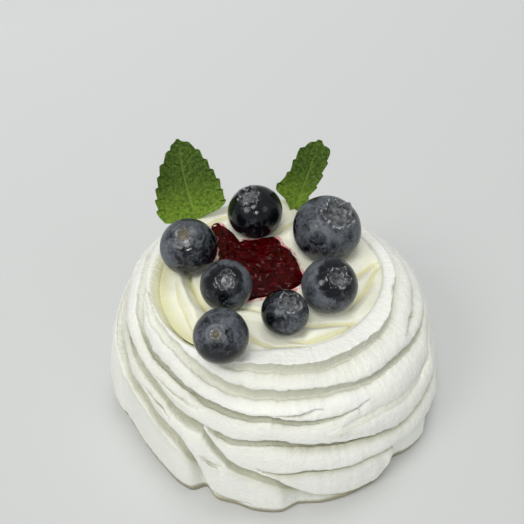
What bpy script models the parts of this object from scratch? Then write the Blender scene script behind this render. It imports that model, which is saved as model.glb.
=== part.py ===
"""Individual pavlova: a piped meringue nest with cream, berry jam, blueberries and mint."""

import math

import bpy
import numpy as np
from mathutils import Matrix, Vector

MM = 0.001

# Meringue nest. Azimuth is in degrees, 0 at the front (-Y) and growing towards +X.
COLUMN_STEP = 5.0
FACE_POINTS = 3
LEAST_GAP = 0.12
EDGE_LIP = 0.7
BASE_EDGE_Z = 2.4
FOOT_INSET = 1.8
NEST_FLOOR_Z = 35.5
NEST_FLOOR_R = 20.0
WALL_INSET = 1.4
FACE_BULGE = 0.62

# Outer radius of the heap of piped ridges against height.
HEAP = [(0, 48.5), (3, 50), (8, 51), (14, 50), (20, 48.5), (27, 45.5), (33, 43), (38, 39), (41, 36.5), (43, 34.5),
        (44.5, 32.5), (46, 29)]
# How far the middle of the heap is squeezed in or pushed out on each side.
SIDE = [(-180, 0), (-110, -0.5), (-92, -2), (-75, -1), (-50, 0), (50, 0), (64, 0.5), (75, -2), (92, -2), (120, 0),
        (180, 0)]
# Outline of the foot: one bulge for each piped lobe that reaches the plate.
FOOT = [(-180, 50.5), (-165, 51.5), (-150, 49), (-135, 51.5), (-118, 49.5), (-104, 52), (-80, 51), (-66, 51),
        (-60, 49.5), (-40, 50.5), (-30, 50), (-24, 48), (-19, 50.5), (-10, 51), (0, 51.5), (8, 48.5), (14, 50.5),
        (22, 52), (31, 52), (36, 50.5), (41, 47.5), (50, 50.5), (56, 51.5), (62, 49.5), (84, 51.5), (98, 50),
        (112, 51.5), (126, 49.5), (142, 51.5), (156, 50), (168, 51.5), (180, 50.5)]
# The coils lean forward as they rise: how far the top of the heap is offset on each side.
LEAN = [(-180, -3.5), (-140, -3), (-108, 1), (-80, 0.5), (0, 0), (80, 0), (110, -2), (145, -4), (180, -3.5)]
# Top of the rim, and where the cream meets it.
RIM_R = [(-180, 29.5), (-140, 31), (-110, 33.5), (-90, 34), (-75, 36), (-60, 37), (-45, 37), (-32, 35.5), (-22, 34),
         (-12, 33), (80, 32), (110, 29.5), (145, 28.5), (180, 29.5)]
RIM_Z = [(-180, 42.5), (-110, 43), (-75, 42.5), (-50, 42), (-30, 41.5), (-14, 42.5), (30, 42.5), (60, 43.5),
         (95, 44.5), (125, 43.5), (180, 42.5)]
CREAM_R = [(-180, 28.5), (-150, 29.5), (-110, 33), (-90, 34), (-74, 34.5), (-50, 35), (-36, 35), (-26, 32.5),
           (-17, 31), (-8, 30), (30, 29.5), (65, 29.5), (90, 29), (110, 27.5), (145, 27), (180, 28.5)]

# Ridge lines: heights along each line, how deep the groove under it cuts in, and how strongly it shows. A line
# that passes 180 carries on round the back and returns on the left, one coil lower.
RIDGES = {
    "A": {
        "z": [(-14, 42.5), (20, 42.5), (55, 43), (75, 44.5), (100, 44.5), (130, 43), (180, 42), (240, 42.5), (268, 42.5),
              (284, 41), (296, 38), (306, 36.5), (320, 35.5), (335, 34), (350, 33), (362, 33.5), (376, 35)],
        "cut": [(-14, 0.4), (60, 0.5), (90, 1.2), (180, 2), (250, 0.8), (284, 1.5), (300, 3), (350, 3), (376, 0.8)],
        "show": [(-16, 0), (-8, 1), (366, 1), (378, 0)],
    },
    "B": {
        "z": [(-38, 40), (-30, 39.5), (-7, 38), (7, 38), (34, 36.5), (52, 36), (70, 34.5), (90, 34), (270, 34),
              (289, 33), (303, 32.5), (312, 31.5), (323, 29), (338, 27), (347, 26), (359, 27), (365, 26), (382, 23.5),
              (395, 21.5), (404, 20), (412, 20.5), (430, 21.5), (470, 21.5), (520, 20.5)],
        "cut": [(-38, 0.5), (-20, 2), (20, 3), (52, 1.5), (90, 2.5), (180, 3), (300, 3), (330, 4), (400, 3.5),
                (440, 3), (520, 0.6)],
        "show": [(-40, 0), (-30, 1), (480, 1), (522, 0)],
    },
    "C": {
        "z": [(54, 38), (68, 38.5), (84, 39), (180, 38.5), (230, 38.5), (262, 38.5), (282, 37)],
        "cut": [(54, 0.6), (70, 2), (180, 2), (240, 1.5), (284, 0.4)],
        "show": [(54, 0), (66, 1), (250, 1), (284, 0)],
    },
    "D": {
        "z": [(-1, 32.5), (7, 31.5), (20, 31), (33, 32)],
        "cut": [(-1, 1.5), (20, 1.5), (33, 0.5)],
        "show": [(-2, 0), (1, 1), (26, 1), (34, 0)],
    },
    "E": {
        "z": [(14, 27.5), (31, 28.5), (48, 27), (75, 28), (110, 28.5), (240, 28.5), (280, 28), (296, 27.5), (300, 26.5),
              (309, 26), (319, 23.5), (332, 19.5), (337, 13.5), (340, 9.5), (344, 6.5), (349, 4), (356, 2.4)],
        "cut": [(14, -1.2), (50, -0.8), (75, 0.8), (110, 2.5), (180, 3), (300, 3), (330, 3.5), (356, 2)],
        "show": [(12, 0), (24, 1), (357, 1)],
    },
    "F": {
        "z": [(-48, 32), (-41, 32), (-33, 32.5), (-17, 32)],
        "cut": [(-48, 2.5), (-35, 2), (-17, 0.5)],
        "show": [(-49, 1), (-28, 1), (-15, 0)],
    },
    "H": {
        "z": [(-51, 26.5), (-46, 27), (-35, 27.5)],
        "cut": [(-51, 1.5), (-36, 1.5)],
        "show": [(-52, 1), (-35, 1)],
    },
    "M": {
        "z": [(-23, 26), (-19, 23.5), (-14, 20), (-11, 18.5), (-2, 17.5), (11, 17.5), (20, 16), (32, 15.5), (48, 13),
              (68, 13), (90, 13.5), (180, 13.5), (240, 13), (270, 11.5), (282, 9.5), (291, 6), (299, 2.6)],
        "cut": [(-23, 1.5), (-15, 3.5), (30, 3.5), (60, 3), (280, 3), (299, 2)],
        "show": [(-24, 1), (300, 1)],
    },
    "K": {
        "z": [(-27, 19), (-12, 18.5)],
        "cut": [(-27, 1.2), (-12, 1.2)],
        "show": [(-28, 1), (-12, 1)],
    },
    "N": {
        "z": [(1, 16), (4, 12), (10, 8.5), (16, 5.5), (21, 4), (26, 3), (31, 3), (34, 4.5), (38, 10.5), (41, 12.5)],
        "cut": [(1, 2), (10, 3), (36, 3), (41, 1.5)],
        "show": [(0, 1), (42, 1)],
    },
}
# Ridge and coil number, from the top of the heap down.
STACK = ["A0", "C0", "B0", "A1", "C1", "F0", "D0", "E0", "B1", "H0", "M0", "K0", "N0", "E1", "M1"]

# Cream: a piped swirl seated in the nest. Radii are fractions of its rim.
CREAM_STEP = 10.0
CREAM_SEAT = 0.5
CREAM_RIM_Z = 42.3
CREAM_CROWN_Z = 44.0
CREAM_FOLDS = 3
CREAM_FOLD_DEPTH = 1.1
CREAM_TWIST = 100.0
JAM_WELL = 1.6

# Jam: a pool a little off centre, with its outline as distances from JAM_CENTRE at azimuths round it.
JAM_CENTRE = (-9.0, 4.0)
JAM_R = [(-180, 6), (-158, 8.6), (-149, 15.3), (-137, 16.1), (-115, 10), (-80, 8), (-60, 9), (-30, 13), (-10, 18),
         (5, 19.5), (30, 19), (46, 19.9), (54, 19.7), (66, 16.6), (82, 14.9), (110, 11.8), (130, 11.6), (150, 7),
         (180, 6)]
JAM_THICK = 1.5
JAM_TOP_Z = 44.5
JAM_GAP = 0.7
GAP = 0.35

# Blueberries: centre, width, height and the way the crown points.
BERRIES = [
    ("blueberry_back", (-6.0, 16.2, 49.2), 16.2, 15.0, (-0.25, -0.20, 0.95)),
    ("blueberry_large", (14.2, 6.9, 50.2), 19.4, 17.6, (0.48, -0.38, 0.79)),
    ("blueberry_left", (-24.0, 0.3, 49.4), 15.8, 15.2, (-0.10, -0.37, 0.92)),
    ("blueberry_middle", (-13.2, -14.2, 48.8), 13.5, 12.8, (0.04, -0.57, 0.82)),
    ("blueberry_front_left", (-13.7, -31.2, 48.6), 13.4, 13.4, (-0.14, -0.61, 0.78)),
    ("blueberry_front", (1.7, -22.4, 47.4), 12.0, 11.2, (0.20, -0.28, 0.94)),
    ("blueberry_right", (13.3, -14.6, 49.2), 14.6, 14.2, (0.27, -0.47, 0.84)),
]
BERRY_AROUND = 15
BERRY_ROWS = 8
CROWN_LOBES = 5
CROWN_RING = 0.36
CROWN_LIFT = 0.07
CROWN_WELL = 0.14

# Mint leaves: base, tip, the way the upper face looks, outline as (along, left, right), and cupping.
LEAVES = [
    ("mint_leaf_left", (-23.7, 19.6, 42.5), (-28.3, 27.0, 67.1), (0.12, -0.82, 0.56),
     [(0, 0.8, 0.8), (0.05, 2, 1.5), (0.09, 9, 4.5), (0.14, 10.8, 8), (0.3, 11.2, 9.6), (0.42, 10, 9.2), (0.55, 8.5, 8),
      (0.75, 6, 6), (0.88, 3.2, 4), (0.95, 1.8, 2), (1, 0.4, 0.4)], 1.6),
    ("mint_leaf_right", (5.2, 23.4, 42.5), (12.9, 29.5, 65.3), (-0.05, -0.82, 0.56),
     [(0, 0.8, 0.8), (0.08, 1.5, 1.8), (0.16, 3.5, 2.4), (0.26, 7.2, 2.8), (0.33, 7.2, 3.2), (0.43, 5.8, 3.9),
      (0.55, 5.2, 4.2), (0.8, 4.4, 4.2), (0.9, 3, 3.6), (1, 0.6, 0.8)], 1.8),
]
LEAF_ROWS = 14
LEAF_ACROSS = 4
LEAF_THICK = 0.7
TOOTH = 0.45
POCKET = 0.35


def clear_scene():
    for obj in list(bpy.data.objects):
        bpy.data.objects.remove(obj, do_unlink=True)


def through(knots, x):
    """Smooth curve through knots that never overshoots them."""
    xs = [k[0] for k in knots]
    ys = [k[1] for k in knots]
    if x <= xs[0]:
        return float(ys[0])
    if x >= xs[-1]:
        return float(ys[-1])
    i = max(j for j in range(len(xs) - 1) if xs[j] <= x)
    wide = xs[i + 1] - xs[i]
    t = (x - xs[i]) / wide

    def slope(j):
        if j == 0 or j == len(xs) - 1:
            return 0.0
        before = (ys[j] - ys[j - 1]) / (xs[j] - xs[j - 1])
        after = (ys[j + 1] - ys[j]) / (xs[j + 1] - xs[j])
        if before * after <= 0:
            return 0.0
        w0 = xs[j + 1] - xs[j]
        w1 = xs[j] - xs[j - 1]
        return (w0 * before + w1 * after) / (w0 + w1)

    s0 = slope(i)
    s1 = slope(i + 1)
    a = 2 * t**3 - 3 * t * t + 1
    b = t**3 - 2 * t * t + t
    c = -2 * t**3 + 3 * t * t
    d = t**3 - t * t
    return a * ys[i] + b * wide * s0 + c * ys[i + 1] + d * wide * s1


def ease(x):
    x = min(max(x, 0.0), 1.0)
    return x * x * (3 - 2 * x)


def heap_radius(az, z):
    xs = [k[0] for k in HEAP]
    ys = [k[1] for k in HEAP]
    middle = math.exp(-(((z - 18) / 11.0) ** 2))
    low = math.exp(-max(z - BASE_EDGE_Z, 0) / 4.0)
    high = ease((z - 26) / 14.0)
    foot = through(FOOT, az) - float(np.interp(BASE_EDGE_Z, xs, ys))
    return float(np.interp(z, xs, ys)) + middle * through(SIDE, az) + low * foot + high * through(LEAN, az)


def ridges_at(az):
    """Ridges that cross this azimuth, from the top down: [label, radius, height, cut, show]."""
    found = []
    for label in STACK:
        line = RIDGES[label[0]]
        along = az + 360 * int(label[1])
        if line["z"][0][0] <= along <= line["z"][-1][0]:
            z = through(line["z"], along)
            show = ease(through(line["show"], along))
            found.append([label, heap_radius(az, z), z, through(line["cut"], along), show])
    return found


def face(start, end, count):
    """Outer face of one ridge: out from the groove above and over to its edge."""
    t = np.linspace(0, 1, count + 1)[1:, None]
    start = np.array(start)
    end = np.array(end)
    arc = np.hstack([
        start[0] + (end[0] - start[0]) * np.sin(t * math.pi / 2),
        start[1] + (end[1] - start[1]) * (1 - np.cos(t * math.pi / 2)),
    ])
    line = start + (end - start) * t
    return FACE_BULGE * arc + (1 - FACE_BULGE) * line


def under(edge, cut, room):
    """Underside of a ridge, from its edge in to the groove."""
    size = min(1.0, max(room, 0.05) / 5.0)
    inward = cut * size
    drop = (EDGE_LIP + 0.3 + 0.4 * abs(cut)) * size
    lip = (edge[0] - 0.25 * inward, edge[1] - EDGE_LIP * size)
    return np.array([lip, (edge[0] - inward, edge[1] - drop)])


def resample(points, count):
    steps = np.hypot(*np.diff(points, axis=0).T)
    along = np.concatenate([[0], np.cumsum(steps)])
    if along[-1] < 1e-9:
        return np.repeat(points[-1:], count, axis=0)
    t = np.linspace(0, along[-1], count + 1)[1:]
    return np.stack([np.interp(t, along, points[:, 0]), np.interp(t, along, points[:, 1])], axis=1)


def outer_profile(az):
    """Rim top, then one [label, face, underside] for each ridge, down to the edge of the foot."""
    top = np.array([through(RIM_R, az), through(RIM_Z, az)])
    found = ridges_at(az)
    foot_r = through(FOOT, az)
    foot = np.array([foot_r, BASE_EDGE_Z])
    strong = [r for r in found if r[4] > 0.999]
    if strong:
        near = ease((strong[-1][2] - BASE_EDGE_Z) / 6.0)
        low = np.array([min(strong[-1][1] - 0.9, foot_r), 1.2])
        foot = low * (1 - near) + foot * near
    pieces = []
    start = top
    for i, (label, r, z, cut, _show) in enumerate(strong):
        below = strong[i + 1][2] if i + 1 < len(strong) else foot[1]
        lip = under((r, z), cut, z - below)
        pieces.append([label, face(start, (r, z), FACE_POINTS), lip])
        start = lip[-1]
    pieces.append(["foot", face(start, foot, FACE_POINTS), np.zeros((0, 2))])
    rank = {label: i for i, label in enumerate(STACK + ["foot"])}
    for label, r, z, cut, show in found:
        if show > 0.999:
            continue
        j = next(i for i, piece in enumerate(pieces) if rank[piece[0]] > rank[label])
        start = top if j == 0 else pieces[j - 1][2][-1]
        end = pieces[j][1][-1]
        whole = np.vstack([start[None], pieces[j][1]])
        lip = under((r, z), cut, z - end[1])
        hit = [i for i in range(len(whole) - 1) if whole[i][1] >= z > whole[i + 1][1]]
        at = hit[0] if hit else (0 if z > whole[0][1] else len(whole) - 2)
        part = (whole[at][1] - z) / max(whole[at][1] - whole[at + 1][1], 1e-6)
        part = min(max(part, 0.0), 1.0)
        split = whole[at] * (1 - part) + whole[at + 1] * part
        upper = resample(np.vstack([whole[: at + 1], split]), FACE_POINTS)
        lower = resample(np.vstack([split, whole[at + 1:]]), FACE_POINTS)
        own_upper = face(start, (r, z), FACE_POINTS)
        own_lower = face(lip[-1], end, FACE_POINTS)
        pieces.insert(j, [label, upper * (1 - show) + own_upper * show, split * (1 - show) + lip * show])
        pieces[j + 1][1] = lower * (1 - show) + own_lower * show
    return top, pieces


def nest_column(az):
    """Points (radius, height) from the nest floor over the rim to the foot, and the index of each label."""
    top, pieces = outer_profile(az)
    seat = through(CREAM_R, az)
    points = [(NEST_FLOOR_R, NEST_FLOOR_Z), (seat - WALL_INSET, NEST_FLOOR_Z + 2.5), (seat + 0.3, top[1] - 1.2)]
    names = {"floor": 0, "wall": 1, "seat": 2}

    def add(point, name=None):
        last = points[-1]
        if math.hypot(point[0] - last[0], point[1] - last[1]) > LEAST_GAP:
            points.append((float(point[0]), float(point[1])))
        if name:
            names[name] = len(points) - 1

    add(top, "rim")
    for label, outer, lip in pieces:
        for k, point in enumerate(outer):
            add(point, "edge " + label if k == len(outer) - 1 else None)
        for k, point in enumerate(lip):
            add(point, "groove " + label if k == len(lip) - 1 else None)
    edge = points[-1]
    add((edge[0] - FOOT_INSET, 0.0), "bottom")
    return points, names


def zip_rows(left, right):
    """Triangles between two rows of (index, distance along), both from the top down."""
    out = []
    i = 0
    k = 0
    while i < len(left) - 1 or k < len(right) - 1:
        step_left = left[i + 1][1] if i < len(left) - 1 else 9.0
        step_right = right[k + 1][1] if k < len(right) - 1 else 9.0
        if step_left <= step_right:
            out.append((left[i][0], left[i + 1][0], right[k][0]))
            i += 1
        else:
            out.append((left[i][0], right[k + 1][0], right[k][0]))
            k += 1
    return out


def run_of(points, first, start, end):
    """Indices and normalised distances from start to end of one column."""
    steps = [0.0]
    for i in range(start, end):
        gap = math.hypot(points[i + 1][0] - points[i][0], points[i + 1][1] - points[i][1])
        steps.append(steps[-1] + gap)
    total = max(steps[-1], 1e-9)
    return [(first + start + i, step / total) for i, step in enumerate(steps)]


def next_coil(name):
    """Label that a ridge carries once it has passed the back."""
    if name[-1] in "01" and " " in name:
        return name[:-1] + str(int(name[-1]) + 1)
    return name


def nest_mesh():
    azimuths = np.arange(-180, 180, COLUMN_STEP)
    columns = [nest_column(az) for az in azimuths]
    verts = []
    first = []
    for az, (points, _names) in zip(azimuths, columns):
        first.append(len(verts))
        a = math.radians(az)
        for r, z in points:
            verts.append((r * math.sin(a), -r * math.cos(a), z))
    floor = len(verts)
    verts.append((0.0, 0.0, NEST_FLOOR_Z))
    bottom = len(verts)
    verts.append((0.0, 0.0, 0.0))
    faces = []
    for j, (points, names) in enumerate(columns):
        n = (j + 1) % len(columns)
        other_points, other_names = columns[n]
        if n == 0:
            names = {next_coil(name): i for name, i in names.items()}
        shared = [name for name in names if name in other_names]
        for upper, lower in zip(shared, shared[1:]):
            left = run_of(points, first[j], names[upper], names[lower])
            right = run_of(other_points, first[n], other_names[upper], other_names[lower])
            faces += zip_rows(left, right)
        faces.append((floor, first[j], first[n]))
        faces.append((bottom, first[n] + len(other_points) - 1, first[j] + len(points) - 1))
    return verts, faces


def add_object(name, verts, faces):
    mesh = bpy.data.meshes.new(name)
    mesh.from_pydata([tuple(c * MM for c in v) for v in verts], [], faces)
    mesh.update()
    obj = bpy.data.objects.new(name, mesh)
    bpy.context.scene.collection.objects.link(obj)
    return obj


def cream_height(az, part):
    """Top of the cream: a low crown with piped folds that spiral inwards, and a well for the jam."""
    crown = CREAM_RIM_Z + (CREAM_CROWN_Z - CREAM_RIM_Z) * ease((1 - part) * 2.2)
    turn = (CREAM_FOLDS * az + CREAM_TWIST * CREAM_FOLDS * (1 - part)) / 360.0
    saw = turn - math.floor(turn)
    fold = CREAM_FOLD_DEPTH * (saw**1.6) * ease((1 - part) * 6) * ease((part - 0.3) * 4)
    return crown + fold - JAM_WELL * ease((0.55 - part) * 4)


def cream_mesh():
    azimuths = np.arange(-180, 180, CREAM_STEP)
    parts = [0.12, 0.28, 0.42, 0.55, 0.68, 0.8, 0.9, 1.0]
    verts = [(0.0, 0.0, cream_height(0, 0))]
    rows = []
    for part in parts:
        rows.append(len(verts))
        for az in azimuths:
            r = part * (through(CREAM_R, az) - 0.1)
            a = math.radians(az)
            verts.append((r * math.sin(a), -r * math.cos(a), cream_height(az, part)))
    floor = NEST_FLOOR_Z + CREAM_SEAT
    for inset, z in [(WALL_INSET + CREAM_SEAT, floor + 2.4), (None, floor)]:
        rows.append(len(verts))
        for az in azimuths:
            r = NEST_FLOOR_R - 1.0 if inset is None else through(CREAM_R, az) - inset
            a = math.radians(az)
            verts.append((r * math.sin(a), -r * math.cos(a), z))
    verts.append((0.0, 0.0, floor))
    count = len(azimuths)
    faces = []
    for j in range(count):
        n = (j + 1) % count
        faces.append((0, rows[0] + j, rows[0] + n))
        for upper, lower in zip(rows, rows[1:]):
            faces.append((upper + j, lower + j, lower + n, upper + n))
        faces.append((len(verts) - 1, rows[-1] + n, rows[-1] + j))
    return verts, faces


def jam_mesh(grow=0.0):
    """Pool of jam, domed at its edge; grow makes the pocket that it lies in."""
    count = 24
    verts = [(JAM_CENTRE[0], JAM_CENTRE[1], JAM_TOP_Z + grow)]
    rows = []
    rings = [(0.5, 0.0), (0.88, -0.15), (1.0, -0.7)]
    for part, down in rings:
        rows.append(len(verts))
        for k in range(count):
            az = -180 + 360.0 * k / count
            r = part * through(JAM_R, az) + grow
            a = math.radians(az)
            lump = 0.25 * math.sin(5 * a + 3 * part) * (1 - part)
            x = JAM_CENTRE[0] + r * math.sin(a)
            y = JAM_CENTRE[1] - r * math.cos(a)
            verts.append((x, y, JAM_TOP_Z + down + lump + grow))
    rows.append(len(verts))
    for k in range(count):
        az = -180 + 360.0 * k / count
        r = 0.9 * through(JAM_R, az) + grow
        a = math.radians(az)
        verts.append((JAM_CENTRE[0] + r * math.sin(a), JAM_CENTRE[1] - r * math.cos(a),
                      JAM_TOP_Z - JAM_THICK - grow))
    verts.append((JAM_CENTRE[0], JAM_CENTRE[1], JAM_TOP_Z - JAM_THICK - grow))
    faces = []
    for j in range(count):
        n = (j + 1) % count
        faces.append((0, rows[0] + j, rows[0] + n))
        for upper, lower in zip(rows, rows[1:]):
            faces.append((upper + j, lower + j, lower + n, upper + n))
        faces.append((len(verts) - 1, rows[-1] + n, rows[-1] + j))
    return verts, faces


def berry_mesh(centre, width, height, crown, grow=0.0):
    """Oblate berry whose five-lobed crown rings a small well."""
    axis = Vector(crown).normalized()
    turn = Vector((0, 0, 1)).rotation_difference(axis).to_matrix()
    half = width / 2 + grow
    tall = height / 2 + grow
    profile = []
    for i in range(1, BERRY_ROWS):
        down = math.pi * (1 - i / BERRY_ROWS * 0.885)
        profile.append((half * math.sin(down), tall * math.cos(down), 0.0))
    if grow == 0:
        profile.append((CROWN_RING * half, tall * (math.sqrt(1 - CROWN_RING**2) + CROWN_LIFT), CROWN_LIFT * tall))
        profile.append((CROWN_RING * 0.62 * half, tall * (1 - CROWN_WELL), 0.0))
        pole = tall * (1 - CROWN_WELL)
    else:
        pole = tall
    verts = [tuple(Vector(centre) + turn @ Vector((0, 0, -tall)))]
    for r, h, lobe in profile:
        for k in range(BERRY_AROUND):
            a = 2 * math.pi * k / BERRY_AROUND
            wave = lobe * math.cos(CROWN_LOBES * a)
            point = Vector(((r + wave) * math.cos(a), (r + wave) * math.sin(a), h + wave * 0.6))
            verts.append(tuple(Vector(centre) + turn @ point))
    verts.append(tuple(Vector(centre) + turn @ Vector((0, 0, pole))))
    faces = []
    rows = len(profile)
    for k in range(BERRY_AROUND):
        n = (k + 1) % BERRY_AROUND
        faces.append((0, 1 + n, 1 + k))
        for i in range(rows - 1):
            low = 1 + i * BERRY_AROUND
            high = low + BERRY_AROUND
            faces.append((low + k, low + n, high + n, high + k))
        last = 1 + (rows - 1) * BERRY_AROUND
        faces.append((len(verts) - 1, last + k, last + n))
    return verts, faces


def leaf_mesh(base, tip, looks, outline, cup, grow=0.0):
    """Thin pointed blade with a toothed margin, cupped along its midrib; grow makes the slit it stands in."""
    along = Vector(tip) - Vector(base)
    length = along.length + 2 * grow
    along.normalize()
    base = Vector(base) - along * grow
    across = along.cross(Vector(looks)).normalized()
    out = across.cross(along).normalized()
    left = [(t, l) for t, l, _r in outline]
    right = [(t, r) for t, _l, r in outline]
    top = []
    for i in range(LEAF_ROWS):
        t = i / (LEAF_ROWS - 1)
        tooth = TOOTH * (i % 2) if 0.15 < t < 0.95 else 0.0
        row = []
        for k in range(LEAF_ACROSS + 1):
            s = 2 * k / LEAF_ACROSS - 1
            half = through(right if s > 0 else left, t) + tooth + grow
            bend = cup * s * s * min(half / 6.0, 1.3) - 1.2 * math.sin(math.pi * t)
            row.append(base + along * (t * length) + across * (s * half) + out * bend)
        top.append(row)
    verts = []
    for side in (0.5, -0.5):
        for row in top:
            for point in row:
                verts.append(tuple(point + out * (side * (LEAF_THICK + 2 * grow))))
    wide = LEAF_ACROSS + 1
    back = LEAF_ROWS * wide
    faces = []
    for i in range(LEAF_ROWS - 1):
        for k in range(LEAF_ACROSS):
            a = i * wide + k
            faces.append((a, a + 1, a + wide + 1, a + wide))
            faces.append((back + a, back + a + wide, back + a + wide + 1, back + a + 1))
    rim = list(range(wide))
    rim += [i * wide + wide - 1 for i in range(1, LEAF_ROWS)]
    rim += [(LEAF_ROWS - 1) * wide + k for k in range(wide - 2, -1, -1)]
    rim += [i * wide for i in range(LEAF_ROWS - 2, 0, -1)]
    for a, b in zip(rim, rim[1:] + rim[:1]):
        faces.append((a, back + a, back + b, b))
    return verts, faces


def cut_out(obj, name, verts, faces):
    """Takes the shape out of obj with an exact Boolean."""
    tool = add_object("cut_" + name, verts, faces)
    tool.hide_render = True
    tool.display_type = "WIRE"
    cut = obj.modifiers.new("cut_" + name, "BOOLEAN")
    cut.operation = "DIFFERENCE"
    cut.solver = "EXACT"
    cut.object = tool


def paint(obj, colour, roughness):
    material = bpy.data.materials.new(obj.name)
    material.use_nodes = True
    shader = material.node_tree.nodes["Principled BSDF"]
    shader.inputs["Base Color"].default_value = (*colour, 1.0)
    shader.inputs["Roughness"].default_value = roughness
    obj.data.materials.append(material)


def main():
    clear_scene()
    nest = add_object("meringue_nest", *nest_mesh())
    paint(nest, (0.85, 0.84, 0.79), 0.55)
    cream = add_object("cream", *cream_mesh())
    paint(cream, (0.86, 0.83, 0.62), 0.4)
    jam = add_object("jam", *jam_mesh())
    paint(jam, (0.15, 0.005, 0.02), 0.2)
    cut_out(cream, "jam", *jam_mesh(JAM_GAP))
    for name, centre, width, height, crown in BERRIES:
        berry = add_object(name, *berry_mesh(centre, width, height, crown))
        paint(berry, (0.03, 0.04, 0.09), 0.45)
        grown = berry_mesh(centre, width, height, crown, GAP)
        for obj in (cream, jam, nest):
            cut_out(obj, name, *grown)
    for name, base, tip, looks, outline, cup in LEAVES:
        leaf = add_object(name, *leaf_mesh(base, tip, looks, outline, cup))
        paint(leaf, (0.05, 0.16, 0.03), 0.5)
        slit = leaf_mesh(base, tip, looks, outline, cup, POCKET)
        for obj in (cream, nest):
            cut_out(obj, name, *slit)


main()
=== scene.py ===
"""Looks for the individual pavlova: each CAD solid gets a finely modelled piece with its own finish.

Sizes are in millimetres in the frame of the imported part: the front is -Y and the table is z = 0. Azimuth is
in degrees, 0 at the front and growing towards +X, and most tables hold (azimuth, value).
"""

import math

import bpy
import numpy as np
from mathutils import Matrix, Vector, noise

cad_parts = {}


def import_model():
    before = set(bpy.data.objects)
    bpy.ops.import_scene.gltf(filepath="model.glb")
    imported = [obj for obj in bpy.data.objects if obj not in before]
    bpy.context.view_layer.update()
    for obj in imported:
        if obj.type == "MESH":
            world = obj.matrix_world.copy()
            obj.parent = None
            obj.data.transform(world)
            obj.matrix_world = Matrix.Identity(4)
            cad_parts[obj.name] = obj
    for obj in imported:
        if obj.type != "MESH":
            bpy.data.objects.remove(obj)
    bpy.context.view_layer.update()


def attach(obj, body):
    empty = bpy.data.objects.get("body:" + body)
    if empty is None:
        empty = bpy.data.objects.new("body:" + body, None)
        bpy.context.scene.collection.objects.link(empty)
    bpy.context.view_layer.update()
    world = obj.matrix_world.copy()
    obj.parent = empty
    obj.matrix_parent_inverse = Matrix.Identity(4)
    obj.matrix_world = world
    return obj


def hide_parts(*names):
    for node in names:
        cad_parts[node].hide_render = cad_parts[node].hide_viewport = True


MM = 0.001

# Meringue nest: columns of points round it, spacing of the points down a face, and least gap between two.
NEST_COLUMNS = 640
FACE_STEP = 0.5
LEAST_GAP = 0.08
# Thickness of a ridge's thin edge, height of the foot's edge, and how far the foot draws in below it.
EDGE_LIP = 0.30
BASE_EDGE_Z = 3.6
FOOT_INSET = 0.5
# Where a ridge comes down this close to the foot, the foot is tucked in under it and lowered.
TUCK_BELOW = 13.0
TUCK = 0.9
TUCKED_Z = 1.4
NEST_FLOOR_Z = 35.5
NEST_FLOOR_R = 20.0
# The heap as (height, radius), what an azimuth adds at mid height, its radius at the foot, and what it adds
# near the top.
HEAP = [(0, 48.5), (3, 50), (8, 51), (14, 50), (20, 48.5), (27, 45.5), (33, 43), (38, 39), (41, 36.5),
        (43, 34.5), (44.5, 32.5), (46, 29)]
SIDE = [(-180, 0), (-110, -0.5), (-92, -2), (-75, -1), (-50, 0), (50, 0), (64, 0.5), (75, -2), (92, -2),
        (120, 0), (180, 0)]
FOOT = [(-180, 50.5), (-165, 51.5), (-150, 49), (-135, 51.5), (-118, 49.5), (-104, 52), (-80, 51),
        (-68, 50), (-58, 48.3), (-48, 48.6), (-40, 49.2), (-31, 50.4), (-27, 50), (-23.8, 47.6),
        (-19.7, 49.6), (-12, 50.6), (-5, 50.9), (1, 51), (7, 48.9), (13.5, 49.6), (20, 50.6), (31, 50.8),
        (36, 49.5), (41, 47.5), (50, 50), (56, 51), (62, 49.5), (84, 51.5), (98, 50), (112, 51.5),
        (126, 49.5), (142, 51.5), (156, 50), (168, 51.5), (180, 50.5)]
LEAN = [(-180, -3.5), (-140, -3), (-108, 1), (-80, 0.5), (0, 0), (80, 0), (110, -2), (145, -4), (180, -3.5)]
RIM_R = [(-180, 29.5), (-140, 31), (-110, 33.5), (-90, 34.6), (-75, 35.9), (-60, 36.3), (-45, 36.3),
         (-32, 35.5), (-22, 34.2), (-12, 33), (80, 32), (110, 29.5), (145, 28.5), (180, 29.5)]
RIM_Z = [(-180, 42.5), (-110, 43), (-75, 42.5), (-50, 42), (-30, 41.5), (-14, 42.5), (30, 42.5), (60, 43.5),
         (95, 44.5), (125, 43.5), (180, 42.5)]
# How far the inside of the rim slopes down to the cream, by azimuth.
INNER_SLOPE = [(-180, 0), (-125, 0), (-95, 1), (-75, 1.5), (-45, 1.4), (-28, 0.3), (-15, 0), (180, 0)]
CREAM_R = [(-180, 28.5), (-150, 29.5), (-110, 31.6), (-88, 31.8), (-74, 32.8), (-60, 33.7), (-48, 34.3),
           (-36, 34), (-26, 32.5), (-17, 31), (-8, 30), (30, 29.5), (65, 29.5), (90, 29), (110, 27.5),
           (145, 27), (180, 28.5)]
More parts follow.
